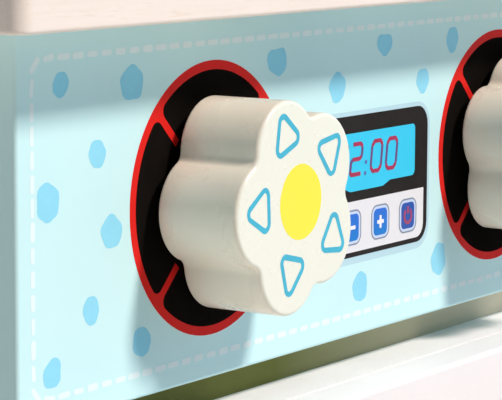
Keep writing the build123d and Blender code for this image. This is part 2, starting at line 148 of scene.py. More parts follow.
studio = {
    "towardsSun": (0.30, -1.0, 1.2),
    "sunStrength": 3.5,
    "sunColour": (1.0, 0.86, 0.81),
    "sunSpread": 9.0,  # degrees
    "frontGlow": (0.34, 0.68, 1.01),
    "leftGlow": (0.02, 0.0, 0.0),
    "leftFrom": (0.5, 0.0),  # the X of a direction where the left glow starts, and where it is full
    "topGlow": (0.09, 0.13, 0.19),
    "topFrom": (0.15, 1.0),  # the same for Z
    "backGlow": (0.62, 0.66, 0.70),
    "backFrom": (0.35, 0.9),  # and for Y
    "backdrop": (1.0, 1.0, 1.0),  # what is seen behind everything, whatever the glow
}

reflector = {
    "place": (-0.22, -0.15, 0.02),
    "towards": (-0.085, -0.085, 0.24),
    "power": 0.056,
    "colour": (1.0, 0.78, 0.60),
    "size": 0.25,
    "spread": 60.0,  # degrees
}


def facing(direction):
    # Turn that makes a lamp shine against a direction
    return direction.to_track_quat("Z", "Y").to_euler()


def addSun():
    sun = bpy.data.lights.new("sun", "SUN")
    sun.energy = studio["sunStrength"]
    sun.color = studio["sunColour"]
    sun.angle = math.radians(studio["sunSpread"])
    addObject("sun", sun).rotation_euler = facing(Vector(studio["towardsSun"]))


def addReflector():
    # Warm light thrown back from low on the left
    look = reflector
    area = bpy.data.lights.new("warmReflector", "AREA")
    area.energy = look["power"]
    area.color = look["colour"]
    area.size = look["size"]
    area.spread = math.radians(look["spread"])
    lamp = addObject("warmReflector", area)
    lamp.location = look["place"]
    lamp.rotation_euler = facing(Vector(look["place"]) - Vector(look["towards"]))
    lamp.visible_camera = False
    lamp.visible_glossy = False


def addWorld():
    look = studio
    world = bpy.data.worlds.new("studio")
    world.use_nodes = True
    scene.world = world
    tree = world.node_tree
    tree.nodes.clear()
    direction = addNode(tree, "ShaderNodeTexCoord").outputs["Generated"]
    axes = addNode(tree, "ShaderNodeSeparateXYZ", {0: direction}).outputs
    glow = look["frontGlow"]
    for axis, side in (("X", "left"), ("Z", "top"), ("Y", "back")):
        share = spread(tree, axes[axis], *look[side + "From"])
        glow = blendColour(tree, share, glow, look[side + "Glow"])
    soft = addNode(tree, "ShaderNodeBackground", {"Color": glow})
    plain = addNode(tree, "ShaderNodeBackground", {"Color": (*look["backdrop"], 1.0)})
    shaders = {0: seenDirectly(tree), 1: soft.outputs[0], 2: plain.outputs[0]}
    mix = addNode(tree, "ShaderNodeMixShader", shaders)
    addNode(tree, "ShaderNodeOutputWorld", {"Surface": mix.outputs[0]})


addCamera()
addSun()
addReflector()
addWorld()
print("camera and light are in place")


# Shader groups that several finishes share

cloudLook = {
    "broadDetail": 3.0, "broadRough": 0.55, "broadShare": 0.65,
    "fineTimes": 9.0, "fineDetail": 4.0, "fineRough": 0.6, "fineShare": 0.35,  # fineTimes: times the scale
    "gain": 4.0,
}

skinLook = {
    "markScale": 38.0, "markDetail": 5.0, "markRough": 0.62, "markTwist": 0.6, "markFrom": (0.42, 0.68),
    "dustScale": 900.0, "dustFrom": (0.66, 0.74), "dustDull": 0.06, "dustRise": 0.12,
    "peelDetail": 1.0, "peelRough": 0.4,
}

# Layers of the grain, each drawn out along X, and their shares of the dark colour
grainLook = {
    "bands": {"along": 0.09, "detail": 3.0, "rough": 0.55, "twist": 0.8, "from": (0.3, 0.72), "smooth": True},
    "fibres": {"along": 0.025, "detail": 3.0, "rough": 0.65, "from": (0.35, 0.7)},
    "pores": {"along": 0.07, "detail": 1.0, "rough": 0.4, "from": (0.64, 0.74)},
    "fibreScale": 1100.0, "poreScale": 1900.0,
    "bandShare": 0.5, "fibreShare": 0.32, "poreShare": 0.35,
    "fibreRise": -0.5, "poreRise": -0.8,
}

wearLook = {
    "samples": 4, "edgeFrom": (0.985, 0.82),
    "breakScale": 260.0, "breakDetail": 4.0, "breakRough": 0.65, "breakFrom": (0.46, 0.62),
}


def addSockets(tree, inputs, outputs):
    for label, kind, value in inputs:
        socket = tree.interface.new_socket(name=label, in_out="INPUT", socket_type="NodeSocket" + kind)
        if value is not None:
            socket.default_value = value
    for label, kind in outputs:
        tree.interface.new_socket(name=label, in_out="OUTPUT", socket_type="NodeSocket" + kind)
    return tree.nodes.new("NodeGroupInput").outputs, tree.nodes.new("NodeGroupOutput").inputs


def newGroup(name, inputs, outputs):
    tree = bpy.data.node_groups.new(name, "ShaderNodeTree")
    return tree, *addSockets(tree, [("Vector", "Vector", None)] + inputs, outputs)


def makeToneGroup():
    # Uneven depth of colour in a coat of paint: broad clouds and finer mottling
    look = cloudLook
    inputs = [("Color", "Color", (1, 1, 1, 1)), ("Spread", "Float", 0.03), ("Scale", "Float", 25.0)]
    tree, given, result = newGroup("paintTone", inputs, [("Color", "Color")])
    broad = noiseOf(tree, given["Vector"], given["Scale"], look["broadDetail"], look["broadRough"])
    fineScale = maths(tree, "MULTIPLY", given["Scale"], look["fineTimes"])
    fine = noiseOf(tree, given["Vector"], fineScale, look["fineDetail"], look["fineRough"])
    broad = maths(tree, "MULTIPLY", broad, look["broadShare"])
    both = maths(tree, "ADD", broad, maths(tree, "MULTIPLY", fine, look["fineShare"]))
    swing = maths(tree, "MULTIPLY", given["Spread"], look["gain"])
    lift = maths(tree, "MULTIPLY", maths(tree, "SUBTRACT", both, 0.5), swing)
    value = maths(tree, "ADD", lift, 1.0)
    shade = addNode(tree, "ShaderNodeHueSaturation", {"Color": given["Color"], "Value": value})
    tree.links.new(shade.outputs[0], result["Color"])
    return tree


def makeSkinGroup():
    # Surface of a sprayed coat: orange peel, finger marks and settled dust
    look = skinLook
    inputs = [("Roughness", "Float", 0.3), ("Marks", "Float", 0.08), ("Peel", "Float", 420.0)]
    tree, given, result = newGroup("lacquerSkin", inputs, [("Roughness", "Float"), ("Height", "Float")])
    marks = noiseOf(tree, given["Vector"], look["markScale"], look["markDetail"], look["markRough"],
                    look["markTwist"])
    marks = spread(tree, marks, *look["markFrom"], smooth=True)
    dust = spread(tree, noiseOf(tree, given["Vector"], look["dustScale"]), *look["dustFrom"])
    rough = maths(tree, "MULTIPLY_ADD", marks, given["Marks"], given["Roughness"])
    rough = maths(tree, "MULTIPLY_ADD", dust, look["dustDull"], rough, clamp=True)
    peel = noiseOf(tree, given["Vector"], given["Peel"], look["peelDetail"], look["peelRough"])
    height = maths(tree, "MULTIPLY_ADD", dust, look["dustRise"], peel)
    tree.links.new(rough, result["Roughness"])
    tree.links.new(height, result["Height"])
    return tree


def grainLayer(tree, vector, scale, layer):
    drawn = stretch(tree, vector, (layer["along"], 1.0, 1.0))
    pattern = noiseOf(tree, drawn, scale, layer["detail"], layer["rough"], layer.get("twist", 0.0))
    return spread(tree, pattern, *layer["from"], smooth=layer.get("smooth", False))


def makeWoodGroup():
    # Close-grained wood whose grain runs along X: growth bands, fibres and short pores
    look = grainLook
    inputs = [("Light", "Color", (0.86, 0.7, 0.52, 1)), ("Dark", "Color", (0.6, 0.42, 0.26, 1)),
              ("Band Scale", "Float", 55.0), ("Contrast", "Float", 0.6)]
    tree, given, result = newGroup("woodGrain", inputs, [("Color", "Color"), ("Height", "Float")])
    bands = grainLayer(tree, given["Vector"], given["Band Scale"], look["bands"])
    fibres = grainLayer(tree, given["Vector"], look["fibreScale"], look["fibres"])
    pores = grainLayer(tree, given["Vector"], look["poreScale"], look["pores"])
    share = maths(tree, "MULTIPLY", bands, look["bandShare"])
    share = maths(tree, "MULTIPLY_ADD", fibres, look["fibreShare"], share)
    share = maths(tree, "MULTIPLY_ADD", pores, look["poreShare"], share)
    share = maths(tree, "MULTIPLY", share, given["Contrast"], clamp=True)
    tree.links.new(blendColour(tree, share, given["Light"], given["Dark"]), result["Color"])
    height = maths(tree, "MULTIPLY", fibres, look["fibreRise"])
    height = maths(tree, "MULTIPLY_ADD", pores, look["poreRise"], height)
    tree.links.new(height, result["Height"])
    return tree


def makeWearGroup():
    # Where a coat has rubbed thin along outer edges
    look = wearLook
    inputs = [("Width", "Float", 0.8 * mm), ("Amount", "Float", 0.6)]
    tree, given, result = newGroup("edgeWear", inputs, [("Mask", "Float")])
    bevel = addNode(tree, "ShaderNodeBevel", {"Radius": given["Width"]}, samples=look["samples"]).outputs[0]
    normal = addNode(tree, "ShaderNodeNewGeometry").outputs["Normal"]
    bend = addNode(tree, "ShaderNodeVectorMath", {0: bevel, 1: normal}, operation="DOT_PRODUCT")
    edge = spread(tree, bend.outputs["Value"], *look["edgeFrom"])
    broken = noiseOf(tree, given["Vector"], look["breakScale"], look["breakDetail"], look["breakRough"])
    broken = spread(tree, broken, *look["breakFrom"])
    mask = maths(tree, "MULTIPLY", maths(tree, "MULTIPLY", edge, broken), given["Amount"], clamp=True)
    tree.links.new(mask, result["Mask"])
    return tree


def makeRingGroup():
    # A band of ink at one radius around the pattern's own Z axis
    inputs = [("Radius", "Float", 0.04), ("Width", "Float", 0.002), ("Softness", "Float", 0.0001)]
    tree, given, result = newGroup("ringBand", inputs, [("Mask", "Float")])
    axes = addNode(tree, "ShaderNodeSeparateXYZ", {0: given["Vector"]})
    flat = addNode(tree, "ShaderNodeCombineXYZ", {0: axes.outputs[0], 1: axes.outputs[1]})
    radius = addNode(tree, "ShaderNodeVectorMath", {0: flat.outputs[0]}, operation="LENGTH")
    away = maths(tree, "SUBTRACT", radius.outputs["Value"], given["Radius"])
    half = maths(tree, "MULTIPLY", given["Width"], 0.5)
    inside = maths(tree, "SUBTRACT", half, maths(tree, "ABSOLUTE", away))
    tree.links.new(spread(tree, inside, 0.0, given["Softness"]), result["Mask"])
    return tree


paintTone = makeToneGroup()
lacquerSkin = makeSkinGroup()
woodGrain = makeWoodGroup()
edgeWear = makeWearGroup()
ringBand = makeRingGroup()
print("shader groups are made")


# Finishes

usualCoat = {
    "tone": 0.03, "toneScale": 25.0,  # depth and size of the clouds in the colour
    "roughness": 0.34, "marks": 0.1,  # how much duller finger marks are
    "peel": 420.0,  # fineness of the orange peel
    "depth": 0.02 * mm, "strength": 1.0,  # of the bump
    "wearWidth": 0.8 * mm,
    "fixed": {},  # values set on the shader itself
}


def useGroup(tree, group, inputs):
    node = tree.nodes.new("ShaderNodeGroup")
    node.node_tree = group
    for label, value in inputs.items():
        if isinstance(value, bpy.types.NodeSocket):
            tree.links.new(value, node.inputs[label])
        elif isinstance(value, tuple):
            node.inputs[label].default_value = (*value, 1.0)
        else:
            node.inputs[label].default_value = value
    return node.outputs


def startFinish(name, place=(0, 0, 0), turn=(0, 0, 0)):
    material = bpy.data.materials.new(name)
    material.use_nodes = True
    tree = material.node_tree
    tree.nodes.clear()
    coordinates = addNode(tree, "ShaderNodeTexCoord").outputs["Object"]
    inputs = {"Vector": coordinates, "Location": place, "Rotation": turn}
    vector = addNode(tree, "ShaderNodeMapping", inputs).outputs[0]
    shader = addNode(tree, "ShaderNodeBsdfPrincipled")
    addNode(tree, "ShaderNodeOutputMaterial", {"Surface": shader.outputs[0]})
    return material, tree, vector, shader


def finishShader(tree, shader, look, colour, rough, height=None):
    tree.links.new(colour, shader.inputs["Base Color"])
    if isinstance(rough, bpy.types.NodeSocket):
        tree.links.new(rough, shader.inputs["Roughness"])
    else:
        shader.inputs["Roughness"].default_value = rough
    if height is not None:
        inputs = {"Height": height, "Distance": look["depth"], "Strength": look["strength"]}
        bump = addNode(tree, "ShaderNodeBump", inputs)
        tree.links.new(bump.outputs[0], shader.inputs["Normal"])
    for label, value in look["fixed"].items():
        shader.inputs[label].default_value = value


def uneven(tree, vector, colour, look):
    # The colour in soft clouds
    inputs = {"Vector": vector, "Color": colour, "Spread": look["tone"], "Scale": look["toneScale"]}
    return useGroup(tree, paintTone, inputs)["Color"]


def rubbed(tree, vector, colour, look):
    # The colour below, where edges have rubbed thin
    inputs = {"Vector": vector, "Width": look["wearWidth"], "Amount": look["wear"]}
    return blendColour(tree, useGroup(tree, edgeWear, inputs)["Mask"], colour, look["wearColour"])


def skinOf(tree, vector, look):
    inputs = {"Vector": vector, "Roughness": look["roughness"], "Marks": look["marks"], "Peel": look["peel"]}
    return useGroup(tree, lacquerSkin, inputs)


def finishSkin(tree, vector, shader, look, colour):
    skin = skinOf(tree, vector, look)
    finishShader(tree, shader, look, colour, skin["Roughness"], skin["Height"])


paints = {
    "white_paint": {
        "colour": (0.93, 0.935, 0.93), "tone": 0.012, "fibre": 0.5,
        "wear": 0.35, "wearColour": (0.80, 0.70, 0.55),
    },
    "blue_paint": {
        "colour": (0.61, 0.93, 0.95), "tone": 0.014, "toneScale": 14.0, "roughness": 0.33,
        "wear": 0.5, "wearColour": (0.93, 0.95, 0.94), "peel": 520.0, "depth": 0.014 * mm,
        "fixed": {"Specular IOR Level": 0.3},
    },
    "back_board": {
        "colour": (0.82, 0.81, 0.78), "roughness": 0.5,
        "wear": 0.6, "wearColour": (0.45, 0.32, 0.2),
    },
    "catch_plastic": {
        "colour": (0.84, 0.84, 0.81), "tone": 0.01, "roughness": 0.42, "marks": 0.05, "peel": 1500.0,
    },
}


def lacquer(name, look, turn, place):
    look = {**usualCoat, **look}
    material, tree, vector, shader = startFinish(name, place, turn)
    colour = uneven(tree, vector, look["colour"], look)
    if "wear" in look:
        colour = rubbed(tree, vector, colour, look)
    skin = skinOf(tree, vector, look)
    height = skin["Height"]
    if "fibre" in look:  # grain of the board showing through its paint
        grain = useGroup(tree, woodGrain, {"Vector": vector})["Height"]
        height = maths(tree, "MULTIPLY_ADD", grain, look["fibre"], height)
    finishShader(tree, shader, look, colour, skin["Roughness"], height)
    return material


usualWood = {
    **usualCoat, "bandScale": 42.0, "roughness": 0.38, "marks": 0.07, "tone": 0.02, "toneScale": 9.0,
    "wear": 0.35, "wearWidth": 1.0 * mm, "depth": 0.03 * mm, "grainRise": 0.8,
}

woods = {
    "birch": {
        "light": (0.80, 0.66, 0.50), "dark": (0.50, 0.34, 0.20), "wearColour": (0.88, 0.78, 0.64),
        "contrast": 0.7,
    },
    "worktop": {
        "light": (0.95, 0.90, 0.82), "dark": (0.78, 0.64, 0.50), "wearColour": (0.93, 0.86, 0.76),
        "contrast": 0.45,
    },
    # Painted shade: the batten's dark olive stands for the shade in the slot under the panel, painted lighter
    # towards the right
    "panel_batten": {
        "light": (0.185, 0.195, 0.052), "dark": (0.14, 0.15, 0.042), "wearColour": (0.20, 0.20, 0.09),
        "contrast": 0.4, "roughness": 0.55, "fixed": {"Specular IOR Level": 0.05},
        "faded": (0.72, 0.66, 0.50), "fade": (-30 * mm, 90 * mm),
    },
}


def clearWood(name, look, turn, place):
    look = {**usualWood, **look}
    material, tree, vector, shader = startFinish(name, place, turn)
    inputs = {"Vector": vector, "Light": look["light"], "Dark": look["dark"], "Band Scale": look["bandScale"],
              "Contrast": look["contrast"]}
    grain = useGroup(tree, woodGrain, inputs)
    colour = grain["Color"]
    if "faded" in look:  # painted light: the colour lightens from left to right, where the slot is less shaded
        coordinates = addNode(tree, "ShaderNodeTexCoord").outputs["Object"]
        along = addNode(tree, "ShaderNodeSeparateXYZ", {0: coordinates}).outputs["X"]
        colour = blendColour(tree, spread(tree, along, *look["fade"]), colour, look["faded"])
    colour = rubbed(tree, vector, uneven(tree, vector, colour, look), look)
    skin = skinOf(tree, vector, look)
    height = maths(tree, "MULTIPLY_ADD", grain["Height"], look["grainRise"], skin["Height"])
    finishShader(tree, shader, look, colour, skin["Roughness"], height)
    return material


knobCoat = {
    # The face is painted lighter than the body, as the lit face against the shaded sides
    **usualCoat, "body": (0.82, 0.78, 0.65), "face": (0.87, 0.92, 0.79),
    "band": (0.1 * mm, 0.7 * mm),  # depth behind the face over which one gives way to the other
    "tone": 0.012, "toneScale": 60.0,
    "wear": 0.05, "wearWidth": 1.0 * mm, "wearColour": (0.7, 0.62, 0.48),
    "roughness": 0.26, "marks": 0.08, "peel": 340.0,
    "fixed": {"Coat Weight": 0.25, "Coat Roughness": 0.12},
}


def creamLacquer(name):
    # Cream on the shaped sides and whiter on the face: painted light, the lit face lighter than the shaded
    # sides
    look = knobCoat
    material, tree, vector, shader = startFinish(name)
    depth = addNode(tree, "ShaderNodeSeparateXYZ", {0: vector}).outputs["Y"]
    back = maths(tree, "SUBTRACT", depth, knobFace)
    share = spread(tree, back, *look["band"], smooth=True)
    colour = uneven(tree, vector, blendColour(tree, share, look["face"], look["body"]), look)
    finishSkin(tree, vector, shader, look, rubbed(tree, vector, colour, look))
    return material


plate = {
    **usualCoat, "light": (0.74, 0.74, 0.71), "dark": (0.56, 0.57, 0.58),
    "spangleScale": 900.0, "spangleShare": 0.5,
    "roughness": 0.27, "marks": 0.12, "peel": 2600.0, "depth": 0.01 * mm,
    "fixed": {"Metallic": 1.0},
}


def zincSteel(name):
    look = plate
    material, tree, vector, shader = startFinish(name)
    inputs = {"Vector": vector, "Scale": look["spangleScale"]}
    spangle = addNode(tree, "ShaderNodeTexVoronoi", inputs, feature="SMOOTH_F1").outputs["Color"]
    patch = addNode(tree, "ShaderNodeRGBToBW", {0: spangle}).outputs[0]
    share = maths(tree, "MULTIPLY", patch, look["spangleShare"])
    finishSkin(tree, vector, shader, look, blendColour(tree, share, look["light"], look["dark"]))
    return material


magnet = {
    **usualCoat, "dark": (0.05, 0.05, 0.055), "light": (0.16, 0.16, 0.165),
    "grainScale": 3200.0, "grainFrom": (0.45, 0.7), "roughness": 0.55,
    "fixed": {"Metallic": 0.3},
}


def ferrite(name):
    look = magnet
    material, tree, vector, shader = startFinish(name)
    grains = spread(tree, noiseOf(tree, vector, look["grainScale"]), *look["grainFrom"])
    colour = blendColour(tree, grains, look["dark"], look["light"])
    finishShader(tree, shader, look, colour, look["roughness"], grains)
    return material


felt = {
    **usualCoat, "dark": (0.78, 0.75, 0.68), "light": (0.9, 0.88, 0.83),
    "flatten": (1.0, 1.0, 0.35), "fibreScale": 2600.0, "fibreDetail": 5.0, "fibreRough": 0.7,
    "fibreTwist": 1.5, "fibreFrom": (0.35, 0.7), "roughness": 0.95, "depth": 0.25 * mm,
    "fixed": {"Sheen Weight": 0.4, "Sheen Roughness": 0.5},
}


def pressedFelt(name):
    look = felt
    material, tree, vector, shader = startFinish(name)
    fibres = noiseOf(tree, stretch(tree, vector, look["flatten"]), look["fibreScale"], look["fibreDetail"],
                     look["fibreRough"], look["fibreTwist"])
    colour = blendColour(tree, spread(tree, fibres, *look["fibreFrom"]), look["dark"], look["light"])
    finishShader(tree, shader, look, colour, look["roughness"], fibres)
    return material


windowSheet = {
    **usualCoat, "tint": (0.93, 0.975, 0.98), "tone": 0.01, "toneScale": 12.0,
    "roughness": 0.03, "marks": 0.07, "peel": 35.0, "depth": 0.01 * mm, "strength": 0.6,
    "fixed": {"Transmission Weight": 1.0, "IOR": 1.49},
}


def clearSheet(name):
    look = windowSheet
    material, tree, vector, shader = startFinish(name)
    finishSkin(tree, vector, shader, look, uneven(tree, vector, look["tint"], look))
    return material


burner = {
    **usualCoat, "black": (0.012, 0.012, 0.013), "tone": 0.06, "toneScale": 30.0,
    "rings": (16.0 * mm, 26.0 * mm, 36.0 * mm), "ringWidth": 2.4 * mm, "red": (0.72, 0.035, 0.02),
    "wear": 0.4, "wearColour": (0.35, 0.27, 0.19), "roughness": 0.36, "marks": 0.12,
}


def hotPlate(name, middle):
    # Black disc with the rings of a heating coil printed in red
    look = burner
    material, tree, vector, shader = startFinish(name, (-middle.x, -middle.y, 0.0))
    colour = uneven(tree, vector, look["black"], look)
    for radius in look["rings"]:
        inputs = {"Vector": vector, "Radius": radius, "Width": look["ringWidth"]}
        colour = blendColour(tree, useGroup(tree, ringBand, inputs)["Mask"], colour, look["red"])
    finishSkin(tree, vector, shader, look, rubbed(tree, vector, colour, look))
    return material


usualInk = {
    **usualCoat, "roughness": 0.42, "gloss": 0.2, "toneScale": 120.0, "peel": 700.0, "depth": 0.01 * mm,
}


def ink(name, look, lowest=0.0, highest=1.0):
    # Screen-printed ink; one with a low colour turns into it between the two heights
    look = {**usualInk, **look}
    material, tree, vector, shader = startFinish(name)
    colour = look["colour"]
    if "lowColour" in look:
        height = addNode(tree, "ShaderNodeSeparateXYZ", {0: vector}).outputs["Z"]
        colour = blendColour(tree, spread(tree, height, lowest, highest), look["lowColour"], colour)
    look["fixed"] = {"Specular IOR Level": look["gloss"]}
    finishSkin(tree, vector, shader, look, uneven(tree, vector, colour, look))
    return material


# Turns that lay a wood's grain along Y or Z; where nothing is named it runs along X
alongX, alongY, alongZ = (0, 0, 0), (0, 0, math.pi / 2), (0, math.pi / 2, 0)
grainOf = {
    "left_side_panel": alongZ, "right_side_panel": alongZ, "corner_blocks": alongZ, "feet": alongZ,
    "shelf_runners": alongY, "rack_rails": alongY,
}
patternShift = (0.137, 0.071, 0.043)  # metres from node to node, so that no two have the same pattern


def finishOf(name, slot, count):
    words = name.title().replace("_", "")
    finish = words[0].lower() + words[1:] + "Finish"
    place = tuple(step * count for step in patternShift)
    turn = grainOf.get(name, alongX)
    if name.endswith("burner_disc"):
        return hotPlate(finish, burnerMiddle[name.split("_")[0]])
    if slot == "cream_paint":
        return creamLacquer(finish)
    if slot == "birch":
        return clearWood(finish, woods.get(name, woods["birch"]), turn, place)
    return lacquer(finish, paints[slot], turn, place)


def dressFrame():
    shared = {
        "zinc_steel": zincSteel("zincPlate"), "magnet": ferrite("ferrite"),
        "felt": pressedFelt("pressedFelt"), "clear_acrylic": clearSheet("clearAcrylic"),
    }
    for count, (name, node) in enumerate(sorted(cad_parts.items())):
        slot = node.data.materials[0].name.split(".")[0]
        material = shared.get(slot) or finishOf(name, slot, count)
        node.data.materials.clear()
        node.data.materials.append(material)


dressFrame()
print("every CAD node has its finish")


# Thin printed pieces, drawn flat in millimetres and stood up on a face

inkStep = 0.04 * mm  # thickness of one pass of ink
inkSink = 0.01 * mm  # how far a print is bedded into the coat below
weldDistance = 0.001 * mm
nearlyStraight = 1.55  # half of a corner's angle, in radians, past which it isn't rounded
wobbleDetail, swellDetail = 1.0, 0.0  # of the noise that moves a line and widens it
# How many short lines go around a rounded corner
cornerSteps = {"outline": 6, "small": 3, "stroke": 6, "stitchLine": 8, "dash": 3, "dab": 5}


def layOnFront(mesh, middle, faceY):
    # A drawing made flat in X and Y is stood up on a face that looks towards -Y
    mesh.transform(Matrix.Translation((middle[0], faceY, middle[1])) @ Matrix.Rotation(math.pi / 2, 4, "X"))


def keepPiece(name, mesh, finish, body):
    piece = addObject(name, mesh)
    mesh.materials.clear()
    mesh.materials.append(finish)
    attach(piece, body)


def printArea(name, areas, passes, finish, middle, faceY, body="root"):
    # areas: one list of loops for each separate patch, the outer loop first and then its holes
    work = bmesh.new()
    for loops in areas:
        flat = [[Vector((x * mm, y * mm, 0.0)) for x, y in loop] for loop in loops]
        triangles = tessellate_polygon(flat)
        points = [p for loop in flat for p in loop]
        low = [work.verts.new((p.x, p.y, -inkSink)) for p in points]
        high = [work.verts.new((p.x, p.y, passes * inkStep)) for p in points]
        for a, b, c in triangles:
            work.faces.new((high[a], high[b], high[c]))
            work.faces.new((low[c], low[b], low[a]))
        start = 0
        for loop in flat:
            for i in range(len(loop)):
                a, b = start + i, start + (i + 1) % len(loop)
                work.faces.new((low[a], low[b], high[b], high[a]))
            start += len(loop)
    bmesh.ops.recalc_face_normals(work, faces=work.faces)
    mesh = bpy.data.meshes.new(name)
    work.to_mesh(mesh)
    work.free()
    layOnFront(mesh, middle, faceY)
    keepPiece(name, mesh, finish, body)


def arc(x, y, radius, start, end, steps):
    angles = [math.radians(start + (end - start) * i / steps) for i in range(steps + 1)]
    return [(x + radius * math.cos(a), y + radius * math.sin(a)) for a in angles]


def circle(x, y, radius, steps):
    return arc(x, y, radius, 0, 360, steps)[:-1]


def roundCorners(corners, radii, steps=cornerSteps["outline"]):
    # Closed outline through the corners, each rounded with its own radius
    outline = []
    count = len(corners)
    for i, corner in enumerate(corners):
        here = Vector(corner)
        before = (Vector(corners[i - 1]) - here).normalized()
        after = (Vector(corners[(i + 1) % count]) - here).normalized()
        radius = radii[i % len(radii)]
        half = before.angle(after) / 2
        if half > nearlyStraight:
            outline.append(tuple(here))
            continue
        reach = radius / math.tan(half)
        centre = here + (before + after).normalized() * (radius / math.sin(half))
        first, last = here + before * reach - centre, here + after * reach - centre
        sweep = -first.angle_signed(last)
        for k in range(steps + 1):
            turn = Matrix.Rotation(sweep * k / steps, 2)
            outline.append(tuple(centre + turn @ first))
    return outline


def box(left, right, low, high):
    return [(left, low), (right, low), (right, high), (left, high)]


def boxAround(x, z, wide, tall):
    return box(x - wide / 2, x + wide / 2, z - tall / 2, z + tall / 2)


def newGeometryTree(name, inputs):
    tree = bpy.data.node_groups.new(name, "GeometryNodeTree")
    inputs = [("Geometry", "Geometry", None)] + inputs + [("Finish", "Material", None)]
    return tree, *addSockets(tree, inputs, [("Geometry", "Geometry")])


def growPiece(name, tree, values, start, finish, middle, faceY, body="root"):
    # A tree's result as a plain mesh: the values go in by socket identifier, and the modifier comes off
    piece = addObject(name, start)
    modifier = piece.modifiers.new(name, "NODES")
    modifier.node_group = tree
    sockets = {item.name: item.identifier for item in tree.interface.items_tree if item.in_out == "INPUT"}
    for label, value in {**values, "Finish": finish}.items():
        modifier[sockets[label]] = value
    bpy.context.view_layer.update()
    evaluated = piece.evaluated_get(bpy.context.evaluated_depsgraph_get())
    mesh = bpy.data.meshes.new_from_object(evaluated)
    piece.modifiers.remove(modifier)
    bpy.data.objects.remove(piece)
    mesh.name = name
    mesh.shade_flat()
    layOnFront(mesh, middle, faceY)
    keepPiece(name, mesh, finish, body)


def roundedCurve(tree, curve, radius, count, limit=False):
    inputs = {"Curve": curve, "Radius": radius, "Count": count, "Limit Radius": limit}
    return addNode(tree, "GeometryNodeFilletCurve", inputs, mode="POLY").outputs[0]


def quadrilateral(tree, width, height):
    inputs = {"Width": width, "Height": height}
    return addNode(tree, "GeometryNodeCurvePrimitiveQuadrilateral", inputs).outputs[0]


def steppedAlong(tree, curve, length):
    inputs = {"Curve": curve, "Length": length}
    return addNode(tree, "GeometryNodeResampleCurve", inputs, mode="LENGTH").outputs[0]


def wandering(tree, curve, scale, seed, amount):
    # Points pushed about in the drawing's plane by as much as the amount
    place = addNode(tree, "GeometryNodeInputPosition").outputs[0]
    inputs = {"Vector": place, "Scale": scale, "Detail": wobbleDetail, "W": seed}
    wander = addNode(tree, "ShaderNodeTexNoise", inputs, noise_dimensions="4D").outputs["Color"]
    kind = "ShaderNodeVectorMath"
    centred = addNode(tree, kind, {0: wander, 1: (0.5, 0.5, 0.5)}, operation="SUBTRACT").outputs[0]
    flat = addNode(tree, kind, {0: centred, 1: (1.0, 1.0, 0.0)}, operation="MULTIPLY").outputs[0]
    moved = addNode(tree, kind, {0: flat, "Scale": amount}, operation="SCALE").outputs[0]
    inputs = {"Geometry": curve, "Offset": moved}
    return addNode(tree, "GeometryNodeSetPosition", inputs).outputs[0]


def thicken(tree, curve, thickness, sink):
    # Fills a closed curve and makes it a slab that stands on its own bedding
    flat = addNode(tree, "GeometryNodeFillCurve", {"Curve": curve}, mode="NGONS").outputs[0]
    down = addNode(tree, "ShaderNodeCombineXYZ", {2: sink}).outputs[0]
    lowered = addNode(tree, "GeometryNodeSetPosition", {"Geometry": flat, "Offset": down}).outputs[0]
    total = maths(tree, "SUBTRACT", thickness, sink)
    up = addNode(tree, "GeometryNodeInputNormal").outputs[0]
    inputs = {"Mesh": lowered, "Offset": up, "Offset Scale": total, "Individual": False}
    raised = addNode(tree, "GeometryNodeExtrudeMesh", inputs).outputs[0]
    under = addNode(tree, "GeometryNodeFlipFaces", {"Mesh": lowered}).outputs[0]
    joined = tree.nodes.new("GeometryNodeJoinGeometry")
    tree.links.new(raised, joined.inputs[0])
    tree.links.new(under, joined.inputs[0])
    inputs = {"Geometry": joined.outputs[0], "Distance": weldDistance}
    return addNode(tree, "GeometryNodeMergeByDistance", inputs).outputs[0]


def closeTree(tree, geometry, finish, result):
    real = addNode(tree, "GeometryNodeRealizeInstances", {"Geometry": geometry})
    painted = addNode(tree, "GeometryNodeSetMaterial", {"Geometry": real.outputs[0], "Material": finish})
    tree.links.new(painted.outputs[0], result["Geometry"])


def makeStrokeTree():
    # Brush strokes of even thickness along the edges they are given, half of it above the drawing's plane
    tree, given, result = newGeometryTree("inkStrokes", [
        ("Stroke", "Float", 1.0 * mm), ("Corner", "Float", 0.5 * mm), ("Thickness", "Float", inkStep),
        ("Wobble", "Float", 0.0), ("Wobble Scale", "Float", 320.0),
        ("Swell", "Float", 0.0), ("Swell Scale", "Float", 450.0), ("Seed", "Float", 0.0),
    ])
    curve = addNode(tree, "GeometryNodeMeshToCurve", {"Mesh": given["Geometry"]}).outputs[0]
    curve = roundedCurve(tree, curve, given["Corner"], cornerSteps["stroke"], limit=True)
    curve = addNode(tree, "GeometryNodeSetCurveNormal", {"Curve": curve}, mode="Z_UP").outputs[0]
    curve = wandering(tree, curve, given["Wobble Scale"], given["Seed"], given["Wobble"])
    place = addNode(tree, "GeometryNodeInputPosition").outputs[0]
    inputs = {"Vector": place, "Scale": given["Swell Scale"], "Detail": swellDetail, "W": given["Seed"]}
    swell = addNode(tree, "ShaderNodeTexNoise", inputs, noise_dimensions="4D").outputs[0]
    swell = maths(tree, "MULTIPLY", maths(tree, "SUBTRACT", swell, 0.5), given["Swell"])
    width = maths(tree, "ADD", swell, 1.0)
    profile = quadrilateral(tree, given["Stroke"], given["Thickness"])
    inputs = {"Curve": curve, "Profile Curve": profile, "Scale": width, "Fill Caps": True}
    swept = addNode(tree, "GeometryNodeCurveToMesh", inputs).outputs[0]
    closeTree(tree, swept, given["Finish"], result)
    return tree


